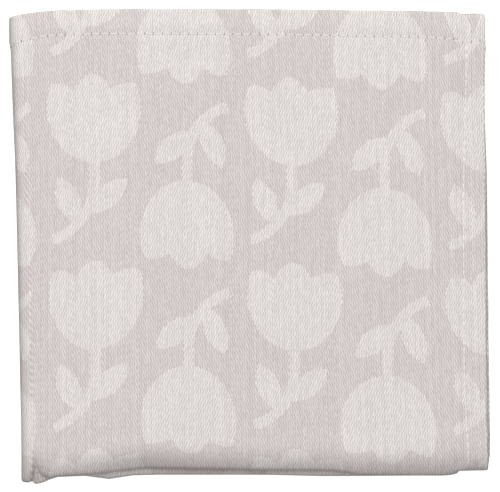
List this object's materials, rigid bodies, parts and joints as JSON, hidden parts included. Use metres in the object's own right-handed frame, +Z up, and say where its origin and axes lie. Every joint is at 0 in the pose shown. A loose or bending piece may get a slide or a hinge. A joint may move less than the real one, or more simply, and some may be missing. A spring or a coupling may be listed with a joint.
{
  "type": "folded tea towel",
  "caption": "Square cotton damask tea towel folded back and forth into a flat, hemmed pile, with pale tulips on pinkish grey.",
  "frame": {"origin": "under the middle of the folded towel, on the surface it rests on", "axes": "+Z up, +Y towards the towel's own top hem, +X towards its side hem"},
  "size_m": [0.1652, 0.163, 0.0196],
  "materials": {
    "towel_cotton": "soft woven cotton damask, matt with a faint satin sheen"
  },
  "bodies": {
    "root": {"towel_cloth": "towel_cotton"}
  },
  "joints": []
}
